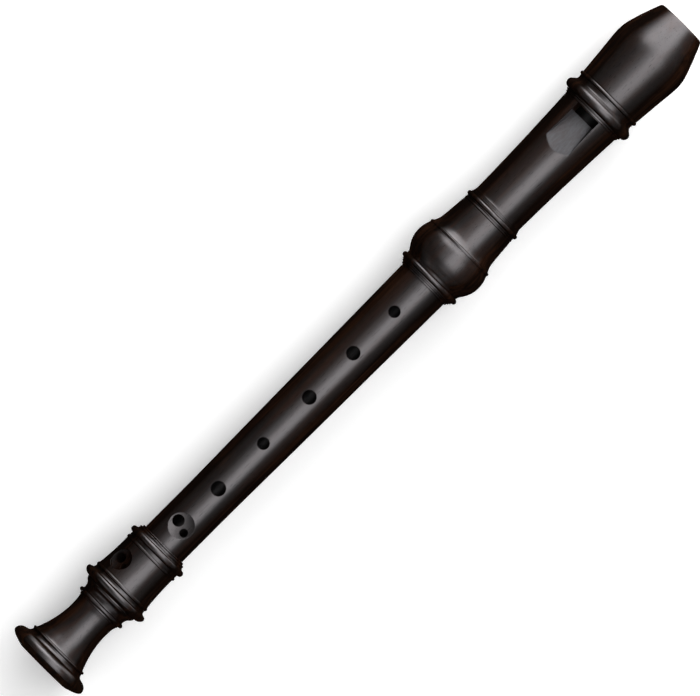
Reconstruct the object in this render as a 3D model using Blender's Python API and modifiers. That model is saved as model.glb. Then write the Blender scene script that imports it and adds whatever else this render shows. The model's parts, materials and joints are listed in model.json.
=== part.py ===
"""A three-piece soprano recorder with its block and the corks of its two tenons.

Each joint is turned standing up, with the foot's end at height 0, the beak at the top and the
finger holes facing -Y. An empty then lays the whole recorder on its back, with the beak towards
+X and the holes up, so that it lies on the foot's rim and on the big ring below the beak.

Outlines and named sizes are in millimetres, and the meshes are in metres.
"""

from math import atan, cos, pi, radians, sin, sqrt

import bmesh
import bpy
from mathutils import Matrix, Vector

MM = 0.001
SIDES = 34  # a flat faces straight down, because 34 leaves a remainder of 2 when divided by 4
MERGE = 0.00001

# Heights of the joints' ends above the foot's end
TIP = 325.0
HEAD_MOUTH = 193.4
FOOT_MOUTH = 61.6
CLEARANCE = 0.3
SHOULDER_BEVEL = 0.2

# How far the front of each joint is turned from straight up, towards the player's right hand
HEAD_TURN = 6.75
MIDDLE_TURN = 2.0
FOOT_TURN = 40.0

# Thickness of the middle joint at its shoulders, as radii
BODY_TOP_RADIUS = 10.33
BODY_END_RADIUS = 9.13

# What the recorder lies on: height along it and radius
RIM_HEIGHT = 3.05
RIM_RADIUS = 16.72
RING_HEIGHT = 282.07
RING_RADIUS = 15.14

# Bores and joints, as radii
HEAD_BORE = 7.0
MIDDLE_BORE_TOP = 6.6
MIDDLE_BORE_END = 4.95
FOOT_BORE_TOP = 4.9
FOOT_BORE_END = 4.5
FOOT_BELL = 5.4
FOOT_FACE = 11.0
UPPER_SOCKET = 9.0
UPPER_SOCKET_DEPTH = 22.0
LOWER_SOCKET = 7.95
LOWER_SOCKET_DEPTH = 11.1
TENON_EASE = 0.4
TENON_CHAMFER = 0.4
CORK_EASE = 0.3
CORK_CHAMFER = 0.2
UPPER_CORK = (198.3, 209.7)
LOWER_CORK = (53.6, 59.2)
CORK_BED_DEPTH = 1.0

# Windway, window and labium
WINDOW_TOP = 278.4
WINDOW_EDGE = 275.3
WINDOW_HALF_WIDTH = 4.55
RAMP_START = 260.0
RAMP_SURFACE = 11.44
RAMP_EDGE = 7.3
RAMP_FLARE = 0.085
BLOCK_RADIUS = 6.7
WINDWAY_FLOOR = 6.2
WINDWAY_ROOF = 7.3
WINDWAY_HALF_WIDTH = 4.55
WINDWAY_SIDE_GAP = 0.1

# The hollow at the back of the beak, a round cut across it
BEAK_CUT_RADIUS = 60.0
BEAK_TIP_ANGLE = 8.0
BEAK_TIP_CHORD = 2.6
BEAK_TOOL_LENGTH = 50.0
BEAK_TOOL_SIDES = 96

# How far the cutting tools reach: past the surface that they start from, and out from the axis
OVERSHOOT = 1.0
TOOL_TOP = 20.0
WINDOW_TOOL_FLOOR = 3.0
RAMP_TOOL_HEIGHT = 12.0
RAMP_TOOL_RUN_OUT = 6.0
RAMP_TOOL_OVERLAP = 0.01
DRILL_FLOOR = 2.0
HOLE_SIDES = 16
SMALL_HOLE_SIDES = 14
SPOT_FACE_SIDES = 28

# Finger holes in the middle joint: height above the foot's end and diameter
FINGER_HOLES = ((178.9, 4.25), (158.0, 5.0), (135.7, 5.15), (112.4, 4.4), (89.6, 5.4))
THUMB_HOLE = (186.3, 5.0)

# Double holes: height, spot face diameter and floor, then (across, up, diameter) of each hole
SIXTH_HOLE = (70.85, 9.6, 7.75, ((-2.1, 0.6, 4.2), (2.5, -1.3, 3.0)))
SEVENTH_HOLE = (47.2, 8.4, 10.5, ((-1.5, 0.6, 3.6), (2.4, -1.2, 2.5)))


def bead(height, half_width, root, crest, steps=4):
    """Half-round raised ring, as points from its upper edge to its lower edge."""
    angles = [pi * i / steps for i in range(steps + 1)]
    return [(root + (crest - root) * sin(a), height + half_width * cos(a)) for a in angles]


def curve(points, steps=2):
    """Smooth curve through all the points, in even steps between neighbours."""
    path = [Vector(point) for point in (points[0], *points, points[-1])]
    result = []
    for before, start, end, after in zip(path, path[1:], path[2:], path[3:]):
        bend = 2 * before - 5 * start + 4 * end - after
        twist = 3 * start - before - 3 * end + after
        for i in range(steps):
            t = i / steps
            result.append(tuple(start + ((end - before) * t + bend * t**2 + twist * t**3) / 2))
    return [*result, points[-1]]


def head_outline():
    """Outside of the head joint, from the tip of the beak down to its mouth."""
    return [
        (10.15, TIP),
        (10.65, TIP - 0.5),
        *curve([(14.08, 313.3), (14.82, 310.0), (15.0, 307.6), (14.86, 305.0)]),
        (13.32, 288.3),
        *bead(287.4, 0.65, 13.28, 13.77, 2),
        (13.03, 286.4),
        (12.95, 285.4),
        (13.35, 284.4),
        *bead(RING_HEIGHT, 1.75, 13.45, RING_RADIUS, 6),
        (13.25, 279.6),
        (12.75, 279.4),
        (12.7, 278.6),
        *curve([(12.2, 278.2), (11.65, 265.5), (11.1, 250.5), (10.72, 231.5)]),
        (11.05, 230.4),
        (11.36, 229.4),
        *bead(228.35, 0.85, 11.42, 12.16),
        (11.36, 227.0),
        (11.58, 226.3),
        *curve([(11.42, 225.7), (11.96, 221.0), (12.35, 216.3), (13.4, 212.7)]),
        (14.28, 212.2),
        (14.28, 211.6),
        *curve([(14.2, 211.2), (14.97, 208.6), (15.18, 206.3)]),
        *curve([(15.12, 204.7), (14.54, 202.6), (13.5, 200.4), (12.2, 198.2)]),
        *bead(196.5, 1.05, 12.15, 13.16),
        (11.75, 195.3),
        (11.7, 194.7),
        (11.05, 194.4),
        (11.0, 193.9),
        (10.45, HEAD_MOUTH),
    ]


def middle_outline():
    """Outside of the middle joint, with a corked tenon at each end."""
    body_top = HEAD_MOUTH - CLEARANCE
    body_end = FOOT_MOUTH + CLEARANCE
    upper = tenon(UPPER_SOCKET, HEAD_MOUTH + UPPER_SOCKET_DEPTH - CLEARANCE, UPPER_CORK, body_top)
    lower = tenon(LOWER_SOCKET, FOOT_MOUTH - LOWER_SOCKET_DEPTH + CLEARANCE, LOWER_CORK, body_end)
    return [
        *upper,
        (BODY_TOP_RADIUS - SHOULDER_BEVEL, body_top),
        (BODY_TOP_RADIUS, body_top - SHOULDER_BEVEL),
        *curve([(10.05, 168.0), (9.64, 127.3), (BODY_END_RADIUS, 84.0)]),
        (BODY_END_RADIUS, body_end + SHOULDER_BEVEL),
        (BODY_END_RADIUS - SHOULDER_BEVEL, body_end),
        *reversed(lower),
    ]


def tenon(socket, end, cork, shoulder):
    """Tenon for a socket of that radius, from its end to its shoulder, with a bed for the cork."""
    wood = socket - TENON_EASE
    bed = wood - CORK_BED_DEPTH
    inward = 1 if shoulder > end else -1
    far, near = sorted(cork, key=lambda place: abs(place - shoulder), reverse=True)
    return [
        (wood - TENON_CHAMFER, end),
        (wood, end + TENON_CHAMFER * inward),
        (wood, far - CLEARANCE * inward),
        (bed, far - CLEARANCE * inward),
        (bed, near + CLEARANCE * inward),
        (wood, near + CLEARANCE * inward),
        (wood, shoulder),
    ]


def foot_outline():
    """Outside of the foot joint, from its mouth down to the rim that it stands on."""
    return [
        (9.5, FOOT_MOUTH),
        (9.95, 60.9),
        (10.65, 60.6),
        (10.9, 59.8),
        *bead(58.2, 1.2, 11.3, 12.6),
        (11.25, 55.6),
        (11.65, 55.0),
        (11.22, 54.4),
        *curve([(11.21, 53.2), (11.4, 46.7), (11.85, 41.1)]),
        (12.31, 40.4),
        (12.03, 39.7),
        (12.15, 38.6),
        *curve([(12.85, 38.1), (13.95, 37.75), (14.16, 37.05), (13.64, 35.9), (12.2, 35.05)]),
        (11.25, 34.5),
        *curve([(11.0, 33.85), (9.9, 32.7), (9.37, 31.1)]),
        *bead(29.75, 0.75, 9.55, 10.42),
        (9.15, 28.6),
        (8.6, 27.2),
        *curve([(8.4, 26.0), (8.32, 23.5), (8.6, 19.0), (9.5, 14.5), (10.6, 10.9), (11.3, 9.1)]),
        (12.33, 8.3),
        (12.04, 7.5),
        (12.6, 6.3),
        *curve([(13.4, 5.95), (15.7, 5.05), (16.55, 3.95), (RIM_RADIUS, RIM_HEIGHT)]),
        *curve([(16.62, 2.4), (15.75, 1.75), (13.4, 0.6)]),
        (FOOT_FACE, 0.0),
    ]


def material(name, colour, roughness):
    """Principled material of one colour."""
    result = bpy.data.materials.new(name)
    result.use_nodes = True
    shader = result.node_tree.nodes["Principled BSDF"]
    shader.inputs["Base Color"].default_value = (*colour, 1.0)
    shader.inputs["Roughness"].default_value = roughness
    shader.inputs["Metallic"].default_value = 0.0
    return result


def add(name, mesh, collection, parent, height=0.0):
    """Object for a mesh, with its origin on the recorder's axis at a height."""
    result = bpy.data.objects.new(name, mesh)
    collection.objects.link(result)
    result.parent = parent
    result.location = (0.0, 0.0, height * MM)
    return result


def turned(name, outside, inside, origin, finish, collection, parent):
    """Solid turned on the axis: the outside from top to bottom, then the bore back up."""
    points = [*outside, *inside]
    rows = [(radius * MM, 0.0, (height - origin) * MM) for radius, height in points]
    edges = [(i, (i + 1) % len(rows)) for i in range(len(rows))]
    mesh = bpy.data.meshes.new(name)
    mesh.from_pydata(rows, edges, [])
    mesh.materials.append(finish)
    result = add(name, mesh, collection, parent, origin)
    screw = result.modifiers.new("turning", "SCREW")
    screw.steps = SIDES
    screw.render_steps = SIDES
    screw.use_merge_vertices = True
    screw.merge_threshold = MERGE
    screw.use_smooth_shade = True
    return result


def cutter(name, mesh, collection, parent, matrix):
    """Guide object that a Boolean modifier reads, placed under the front of a joint."""
    result = add(name, mesh, collection, parent)
    result.matrix_local = matrix
    result.hide_render = True
    result.display_type = "WIRE"
    return result


def cylinder(name, diameter, length, sides):
    """Closed cylinder along Z, centred on its origin."""
    mesh = bpy.data.meshes.new(name)
    shape = bmesh.new()
    radius = diameter / 2 * MM
    bmesh.ops.create_cone(
        shape, cap_ends=True, segments=sides, radius1=radius, radius2=radius, depth=length * MM
    )
    shape.to_mesh(mesh)
    shape.free()
    return mesh


def prism(name, outline, length):
    """Flat closed outline in X and Y, drawn out along Z from 0 to the length."""
    shape = bmesh.new()
    corners = [shape.verts.new((x * MM, y * MM, 0.0)) for x, y in outline]
    face = shape.faces.new(corners)
    drawn = bmesh.ops.extrude_face_region(shape, geom=[face])
    top = [v for v in drawn["geom"] if isinstance(v, bmesh.types.BMVert)]
    bmesh.ops.translate(shape, verts=top, vec=(0.0, 0.0, length * MM))
    bmesh.ops.recalc_face_normals(shape, faces=shape.faces)
    mesh = bpy.data.meshes.new(name)
    shape.to_mesh(mesh)
    shape.free()
    return mesh


def cut(target, tool):
    """Take a cutter away from a part."""
    boolean = target.modifiers.new(tool.name, "BOOLEAN")
    boolean.operation = "DIFFERENCE"
    boolean.solver = "EXACT"
    boolean.object = tool


def arc(radius, half_width, steps=8):
    """Points on a circle round the axis, across its front from left to right."""
    across = [half_width * (2 * i / steps - 1) for i in range(steps + 1)]
    return [(x, -sqrt(radius**2 - x**2)) for x in across]


def radial_bore(name, target, front, diameter, height, across=0.0, floor=DRILL_FLOOR, sides=HOLE_SIDES):
    """Bore a round hole or a spot face into the front, down to a floor this far from the axis."""
    mesh = cylinder(name, diameter, TOOL_TOP - floor, sides)
    place = Matrix.Translation((across * MM, -(TOOL_TOP + floor) / 2 * MM, height * MM))
    matrix = place @ Matrix.Rotation(pi / 2, 4, "X")
    cut(target, cutter(name, mesh, bpy.data.collections["cutters"], front, matrix))


def double_hole(name, target, front, hole):
    """Bore a spot face with its two holes, the big one on the left of the front."""
    height, face_diameter, floor, bores = hole
    radial_bore(f"{name}_face", target, front, face_diameter, height, 0.0, floor, SPOT_FACE_SIDES)
    for label, (across, up, diameter) in zip(("large", "small"), bores):
        radial_bore(
            f"{name}_{label}", target, front, diameter, height + up, across, sides=SMALL_HOLE_SIDES
        )


def front_of(name, rig, turn):
    """Empty whose -Y side is the front of a joint, turned about the recorder's axis."""
    result = bpy.data.objects.new(name, None)
    bpy.context.scene.collection.objects.link(result)
    result.parent = rig
    result.rotation_euler = (0.0, 0.0, -radians(turn))
    return result


def lay_down():
    """Empty that lays the standing recorder on its back, on the rim and on the ring."""
    flat = cos(pi / SIDES)
    lean = atan(flat * (RIM_RADIUS - RING_RADIUS) / (RING_HEIGHT - RIM_HEIGHT))
    axis_height = RIM_HEIGHT * sin(lean) + flat * RIM_RADIUS * cos(lean)
    result = bpy.data.objects.new("recorder_rig", None)
    bpy.context.scene.collection.objects.link(result)
    result.rotation_euler = (-pi / 2 - lean, 0.0, -pi / 2)
    result.location = (-TIP / 2 * MM * cos(lean), 0.0, axis_height * MM)
    return result


def beak_tool(collection, front, name):
    """Big cylinder across the back of the beak."""
    angle = radians(BEAK_TIP_ANGLE)
    depth = BEAK_CUT_RADIUS * cos(angle) - BEAK_TIP_CHORD
    along = TIP + BEAK_CUT_RADIUS * sin(angle)
    place = Matrix.Translation((0.0, depth * MM, along * MM)) @ Matrix.Rotation(pi / 2, 4, "Y")
    mesh = cylinder(name, 2 * BEAK_CUT_RADIUS, BEAK_TOOL_LENGTH, BEAK_TOOL_SIDES)
    return cutter(name, mesh, collection, front, place)


def windway_tool(collection, front):
    """Channel over the block, with a roof that is round like the bore."""
    roof = arc(WINDWAY_ROOF, WINDWAY_HALF_WIDTH)
    below = reversed(arc(WINDWAY_FLOOR - OVERSHOOT, WINDWAY_HALF_WIDTH))
    mesh = prism("windway_channel", [*roof, *below], TIP - WINDOW_TOP + 2 * OVERSHOOT)
    place = Matrix.Translation((0.0, 0.0, (WINDOW_TOP - OVERSHOOT) * MM))
    return cutter("windway_channel", mesh, collection, front, place)


def window_tool(collection, front):
    """Square opening between the end of the windway and the labium's edge."""
    half = WINDOW_HALF_WIDTH
    top, floor = -TOOL_TOP, -WINDOW_TOOL_FLOOR
    outline = [(-half, top), (half, top), (half, floor), (-half, floor)]
    mesh = prism("window_opening", outline, WINDOW_TOP - WINDOW_EDGE)
    place = Matrix.Translation((0.0, 0.0, WINDOW_EDGE * MM))
    return cutter("window_opening", mesh, collection, front, place)


def ramp_tool(collection, front):
    """Sloping cut down to the labium's edge, wider towards its upper end."""
    run = WINDOW_EDGE - RAMP_START
    rise = RAMP_SURFACE - RAMP_EDGE
    slope = atan(rise / run)
    length = sqrt(run**2 + rise**2) + RAMP_TOOL_RUN_OUT
    half, top = WINDOW_HALF_WIDTH, RAMP_TOOL_HEIGHT
    mesh = prism("labium_ramp", [(-half, 0.0), (half, 0.0), (half, top), (-half, top)], length)
    for vertex in mesh.vertices:
        vertex.co.x *= 1 + RAMP_FLARE * (vertex.co.z / MM) / half
    place = Matrix.Translation((0.0, -RAMP_EDGE * MM, (WINDOW_EDGE + RAMP_TOOL_OVERLAP) * MM))
    return cutter("labium_ramp", mesh, collection, front, place @ Matrix.Rotation(pi - slope, 4, "X"))


def build_head(parts, tools, rig, front, wood):
    """Head joint: turned outside, socket and bore, with the windway, window, labium and beak."""
    socket_end = HEAD_MOUTH + UPPER_SOCKET_DEPTH
    inside = [
        (UPPER_SOCKET, HEAD_MOUTH),
        (UPPER_SOCKET, socket_end),
        (HEAD_BORE, socket_end),
        (HEAD_BORE, TIP),
    ]
    head = turned("head_joint", head_outline(), inside, HEAD_MOUTH, wood, parts, rig)
    cut(head, windway_tool(tools, front))
    cut(head, window_tool(tools, front))
    cut(head, ramp_tool(tools, front))
    cut(head, beak_tool(tools, front, "beak_hollow"))


def build_block(parts, tools, front, cedar):
    """Block that closes the beak, cut to the same hollow and with the windway's floor on top."""
    mesh = cylinder("block", 2 * BLOCK_RADIUS, TIP - WINDOW_TOP, SIDES)
    mesh.materials.append(cedar)
    block = add("block", mesh, parts, front, (TIP + WINDOW_TOP) / 2)
    half = WINDWAY_HALF_WIDTH + WINDWAY_SIDE_GAP
    outline = [*reversed(arc(WINDWAY_FLOOR, half)), *arc(BLOCK_RADIUS + OVERSHOOT, half)]
    mesh = prism("windway_floor", outline, TIP - WINDOW_TOP + 2 * OVERSHOOT)
    place = Matrix.Translation((0.0, 0.0, (WINDOW_TOP - OVERSHOOT) * MM))
    cut(block, cutter("windway_floor", mesh, tools, front, place))
    cut(block, beak_tool(tools, front, "block_hollow"))


def build_middle(parts, rig, front, back, wood):
    """Middle joint: bore that narrows downwards, five single holes, a double one and the thumb's."""
    top = HEAD_MOUTH + UPPER_SOCKET_DEPTH - CLEARANCE
    end = FOOT_MOUTH - LOWER_SOCKET_DEPTH + CLEARANCE
    inside = [(MIDDLE_BORE_END, end), (MIDDLE_BORE_TOP, top)]
    middle = turned("middle_joint", middle_outline(), inside, HEAD_MOUTH, wood, parts, rig)
    for number, (height, diameter) in enumerate(FINGER_HOLES, 1):
        radial_bore(f"finger_hole_{number}", middle, front, diameter, height)
    double_hole("finger_hole_6", middle, front, SIXTH_HOLE)
    height, diameter = THUMB_HOLE
    radial_bore("thumb_hole", middle, back, diameter, height)


def build_foot(parts, rig, front, wood):
    """Foot joint: socket, bore with a small bell and the double hole of the little finger."""
    socket_end = FOOT_MOUTH - LOWER_SOCKET_DEPTH
    inside = [
        (FOOT_BELL, 0.0),
        (FOOT_BORE_END, 1.5),
        (FOOT_BORE_TOP, socket_end),
        (LOWER_SOCKET, socket_end),
        (LOWER_SOCKET, FOOT_MOUTH),
    ]
    foot = turned("foot_joint", foot_outline(), inside, FOOT_MOUTH, wood, parts, rig)
    double_hole("finger_hole_7", foot, front, SEVENTH_HOLE)


def build_cork(name, socket, ends, parts, rig, cork):
    """Cork sleeve in its bed on a tenon."""
    low, high = ends
    outer = socket - CORK_EASE
    bed = socket - TENON_EASE - CORK_BED_DEPTH + CLEARANCE
    outside = [
        (outer - CORK_CHAMFER, high),
        (outer, high - CORK_CHAMFER),
        (outer, low + CORK_CHAMFER),
        (outer - CORK_CHAMFER, low),
    ]
    turned(name, outside, [(bed, low), (bed, high)], (low + high) / 2, cork, parts, rig)


def main():
    """Clear the scene and build the recorder."""
    for old in list(bpy.data.objects):
        bpy.data.objects.remove(old, do_unlink=True)
    parts = bpy.data.collections.new("recorder")
    tools = bpy.data.collections.new("cutters")
    bpy.context.scene.collection.children.link(parts)
    bpy.context.scene.collection.children.link(tools)

    wood = material("grenadilla", (0.012, 0.008, 0.006), 0.34)
    cedar = material("cedar", (0.42, 0.21, 0.11), 0.65)
    cork = material("cork", (0.48, 0.31, 0.18), 0.9)

    rig = lay_down()
    head_front = front_of("head_front", rig, HEAD_TURN)
    middle_front = front_of("middle_front", rig, MIDDLE_TURN)
    middle_back = front_of("middle_back", rig, MIDDLE_TURN + 180.0)
    foot_front = front_of("foot_front", rig, FOOT_TURN)

    build_head(parts, tools, rig, head_front, wood)
    build_block(parts, tools, head_front, cedar)
    build_middle(parts, rig, middle_front, middle_back, wood)
    build_foot(parts, rig, foot_front, wood)
    build_cork("upper_tenon_cork", UPPER_SOCKET, UPPER_CORK, parts, rig, cork)
    build_cork("lower_tenon_cork", LOWER_SOCKET, LOWER_CORK, parts, rig, cork)


main()
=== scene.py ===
"""Looks of a three-piece soprano recorder: turned grenadilla, a cedar block and two corked tenons.

Every piece is drawn on a bench: X runs along the recorder's axis from the end of the foot to the
tip of the beak, Y points to the left and Z out through the middle of the piece's own front, all in
millimetres. The bench's matrix, worked out from the head's joint in the frame, lays the piece down.
"""

import json
import logging
from dataclasses import dataclass, field
from enum import Enum
from math import atan2, cos, pi, radians, sin, sqrt, tan
from typing import Any, ClassVar, Mapping, Sequence

import bpy
import numpy as np
from bpy.types import Material, Node, NodeSocket, NodeTree, Object
from mathutils import Matrix, Vector


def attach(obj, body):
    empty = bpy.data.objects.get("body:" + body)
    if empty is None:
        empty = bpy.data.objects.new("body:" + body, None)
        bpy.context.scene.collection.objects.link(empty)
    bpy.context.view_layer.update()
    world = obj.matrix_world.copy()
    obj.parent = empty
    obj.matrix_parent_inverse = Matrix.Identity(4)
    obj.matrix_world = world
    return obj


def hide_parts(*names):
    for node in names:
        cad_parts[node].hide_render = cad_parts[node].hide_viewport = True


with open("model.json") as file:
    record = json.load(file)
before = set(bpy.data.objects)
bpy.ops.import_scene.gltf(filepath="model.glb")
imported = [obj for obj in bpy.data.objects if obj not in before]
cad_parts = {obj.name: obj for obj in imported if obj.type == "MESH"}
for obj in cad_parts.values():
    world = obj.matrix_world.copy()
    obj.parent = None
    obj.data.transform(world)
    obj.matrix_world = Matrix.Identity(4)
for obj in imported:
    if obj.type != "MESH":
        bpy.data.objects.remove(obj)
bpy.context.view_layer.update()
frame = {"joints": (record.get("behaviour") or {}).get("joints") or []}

LOG = logging.getLogger("recorder")

MM = 0.001

# Heights along the axis, in millimetres from the end of the foot
TIP = 325.0
HEAD_MOUTH = 193.4
FOOT_MOUTH = 61.6

# Turnings that the recorder lies on: height along the axis and radius
RING = (282.07, 15.14)
RIM = (3.05, 16.72)

# Room round a cork, ease of a socket's mouth, reach of tools beyond the wood and over each other
CLEARANCE = 0.3
MOUTH_EASE = 0.35
OVERCUT = 2.0
LAP = 0.02

# Fineness of the meshes
SEGMENTS = 192
HOLE_SEGMENTS = 48
SECTION_STEPS = 24
RAMP_STEPS = 16
DISH_STEPS = 10
FLARE_STEPS = 5
BISECTIONS = 44
WELD = 0.0005
SMOOTH_ANGLE = 32.0

Point = tuple[float, float]
Place = tuple[float, float, float]


# Node trees


class Value:
    """Number that varies over a mesh; arithmetic on it adds Math nodes to its tree."""

    def __init__(self, nodes: "Nodes", socket: NodeSocket) -> None:
        """Wrap an output socket of a tree."""
        self.nodes = nodes
        self.socket = socket

    def math(self, operation: str, *others: Any) -> "Value":
        """Result of a Math node whose first number is this one."""
        return self.nodes.math(operation, self, *others)

    def __add__(self, other: Any) -> "Value":
        """Sum."""
        return self.math("ADD", other)

    __radd__ = __add__

    def __mul__(self, other: Any) -> "Value":
        """Product."""
        return self.math("MULTIPLY", other)

    def __sub__(self, other: Any) -> "Value":
        """Difference."""
        return self.math("SUBTRACT", other)

    def __rsub__(self, other: float) -> "Value":
        """Difference from a plain number."""
        return self.nodes.math("SUBTRACT", other, self)

    def __truediv__(self, other: Any) -> "Value":
        """Quotient."""
        return self.math("DIVIDE", other)

    def __mod__(self, other: Any) -> "Value":
        """Remainder."""
        return self.math("MODULO", other)

    def smooth(self, low: float, high: float) -> "Value":
        """Soft step from 0 at the low value to 1 at the high one."""
        sockets = {"Value": self, "From Min": low, "From Max": high}
        return self.nodes.number("ShaderNodeMapRange", sockets, "Result", interpolation_type="SMOOTHSTEP")


class Nodes:
    """Node tree with one method that adds any node to it."""

    def __init__(self, tree: NodeTree) -> None:
        """Take over a tree."""
        self.tree = tree

    def add(self, kind: str, sockets: Mapping[Any, Any] | None = None, **settings: Any) -> Node:
        """Add a node.

        Args:
            kind: Type name of the node.
            sockets: Values or links of its inputs, by name or by number.
            settings: Attributes of the node.

        Returns:
            The new node.
        """
        node = self.tree.nodes.new(kind)
        for name, setting in settings.items():
            setattr(node, name, setting)
        for key, value in (sockets or {}).items():
            source = value.socket if isinstance(value, Value) else value
            if isinstance(source, NodeSocket):
                self.tree.links.new(source, node.inputs[key])
            else:
                node.inputs[key].default_value = source
        return node

    def number(self, kind: str, sockets: Mapping[Any, Any], output: Any = 0, **settings: Any) -> Value:
        """Output of a new node, as a number for arithmetic."""
        return Value(self, self.add(kind, sockets, **settings).outputs[output])

    def math(self, operation: str, *values: Any) -> Value:
        """Result of one Math node."""
        return self.number("ShaderNodeMath", dict(enumerate(values)), operation=operation)


class GeometryTree(Nodes):
    """Geometry Nodes tree that revolves an outline, used through a modifier."""

    def __init__(self, name: str, measures: Sequence[str] = ()) -> None:
        """Make an empty tree.

        Args:
            name: Name of the tree.
            measures: Names of the numbers that it takes besides the usual inputs.
        """
        super().__init__(bpy.data.node_groups.new(name, "GeometryNodeTree"))
        kinds = {"Outline": "Geometry", "Segments": "Int", "Closed": "Int", "Finish": "Material"}
        for label, kind in {**kinds, **dict.fromkeys(measures, "Float")}.items():
            self.tree.interface.new_socket(label, in_out="INPUT", socket_type=f"NodeSocket{kind}")
        self.tree.interface.new_socket("Solid", in_out="OUTPUT", socket_type="NodeSocketGeometry")
        self.source = self.add("NodeGroupInput").outputs

    def given(self, label: str) -> Value:
        """Named number that the modifier sets."""
        return Value(self, self.source[label])

    def revolved(self) -> tuple[NodeSocket, Value, Value, Value, Value]:
        """Grid with a row for each point of the outline and a column for each segment.

        Returns:
            The grid, then the outline's X, Y and Z at each of its points, and the angle there.
        """
        outline = self.source["Outline"]
        count = self.number("GeometryNodeAttributeDomainSize", {"Geometry": outline}, "Point Count")
        columns = self.given("Segments") + 1
        rows = count + self.given("Closed")
        grid = self.add("GeometryNodeMeshGrid", {"Vertices X": rows, "Vertices Y": columns})
        index = self.number("GeometryNodeInputIndex", {})
        column = index % columns
        row = ((index - column) / columns).math("ROUND") % count
        place = self.add("GeometryNodeInputPosition").outputs[0]
        sample = self.add(
            "GeometryNodeSampleIndex",
            {"Geometry": outline, "Value": place, "Index": row},
            data_type="FLOAT_VECTOR",
            domain="POINT",
        )
        parts = self.add("ShaderNodeSeparateXYZ", {0: sample.outputs[0]}).outputs
        angle = column * (2 * pi) / self.given("Segments")
        return (grid.outputs["Mesh"], *[Value(self, parts[i]) for i in range(3)], angle)

    def close(self, mesh: NodeSocket, x: Value, y: Value, z: Value) -> NodeTree:
        """Move the grid's points, close its seam and its poles, and end the tree.

        Args:
            mesh: The grid.
            x: Along the bench.
            y: To the left.
            z: Upwards.

        Returns:
            The finished tree.
        """
        place = self.add("ShaderNodeCombineXYZ", {0: x, 1: y, 2: z}).outputs[0]
        for kind, sockets in (
            ("GeometryNodeSetPosition", {"Position": place}),
            ("GeometryNodeMergeByDistance", {"Distance": WELD}),
            ("GeometryNodeRealizeInstances", {}),
            ("GeometryNodeSetMaterial", {"Material": self.source["Finish"]}),
        ):
            mesh = self.add(kind, {"Geometry": mesh, **sockets}).outputs[0]
        self.add("NodeGroupOutput", {0: mesh})
        return self.tree


def turning_tree() -> NodeTree:
    """Tree that turns an outline, (along, radius), round the recorder's axis."""
    tree = GeometryTree("turning")
    grid, along, radius, _, angle = tree.revolved()
    return tree.close(grid, along, radius * angle.math("SINE"), radius * angle.math("COSINE"))


def boring_tree() -> NodeTree:
    """Tree that turns a drill's outline, (radius, height, follow), round the axis of a hole.

    Where follow is 1, the height is counted from the wood's surface, which is a saddle that the
    inputs Surface, Taper and Across describe. Where it is 0, it is counted from the bore's axis.
    """
    tree = GeometryTree("boring", ("Surface", "Taper", "Across", "Along"))
    grid, radius, height, follow, angle = tree.revolved()
    step = radius * angle.math("COSINE")
    across = radius * angle.math("SINE") + tree.given("Across")
    round_at = tree.given("Surface") + tree.given("Taper") * step
    saddle = (round_at * round_at - across * across).math("MAXIMUM", 0.0).math("SQRT")
    return tree.close(grid, step + tree.given("Along"), across, height + follow * saddle)


# Outlines


def smooth_run(points: Sequence[Point], spacing: float = 0.35) -> list[Point]:
    """Curve through points, even where they are unevenly spaced.

    Args:
        points: Places that the curve passes, in order.
        spacing: Longest step between the points that are returned.

    Returns:
        Points of the curve, the ends included.
    """
    path = [Vector(point) for point in points]
    path = [2 * path[0] - path[1], *path, 2 * path[-1] - path[-2]]
    result = []
    for a, b, c, d in zip(path, path[1:], path[2:], path[3:]):
        gaps = [sqrt(max((q - p).length, 1e-6)) for p, q in ((a, b), (b, c), (c, d))]
        first = ((b - a) / gaps[0] - (c - a) / (gaps[0] + gaps[1]) + (c - b) / gaps[1]) * gaps[1]
        last = ((c - b) / gaps[1] - (d - b) / (gaps[1] + gaps[2]) + (d - c) / gaps[2]) * gaps[1]
        steps = max(2, round((c - b).length / spacing))
        for i in range(steps):
            t = i / steps
            place = (
                (2 * t**3 - 3 * t**2 + 1) * b
                + (t**3 - 2 * t**2 + t) * first
                + (3 * t**2 - 2 * t**3) * c
                + (t**3 - t**2) * last
            )
            result.append(tuple(place))
    return [*result, tuple(points[-1])]


def bead(middle: float, half_width: float, root: float, crest: float, steps: int = 14) -> list[Point]:
    """Half-round raised ring, from its beak side to its foot side."""
    angles = [pi * i / steps for i in range(steps + 1)]
    return [(middle + half_width * cos(a), root + (crest - root) * sin(a)) for a in angles]


def fillet(high: float, low: float, radius: float, ease: float = 0.1) -> list[Point]:
    """Flat raised band between two places, with its two edges eased."""
    curve = [(ease * (1 - cos(a)), ease * (1 - sin(a))) for a in (0.0, pi / 6, pi / 3, pi / 2)]
    upper = [(high - bend, radius - drop) for bend, drop in curve]
    lower = [(low + bend, radius - drop) for bend, drop in reversed(curve)]
    return [*upper, *lower]


def socket_mouth(mouth: float, radius: float, outwards: float) -> list[Point]:
    """Eased mouth of a socket's tool, from inside the socket to beyond the wood."""
    end = mouth + OVERCUT * outwards
    wide = radius + MOUTH_EASE
    return [(mouth - MOUTH_EASE * outwards, radius), (mouth, wide), (end, wide), (end, 0.0)]


def radius_at(outline: Sequence[Point], along: float) -> float:
    """Greatest radius of an outline at a place along the axis."""
    found = [
        a[1] + (b[1] - a[1]) * (along - a[0]) / (b[0] - a[0])
        for a, b in zip(outline, outline[1:])
        if min(a[0], b[0]) <= along <= max(a[0], b[0]) and a[0] != b[0]
    ]
    return max(found)


# Meshes


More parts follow.
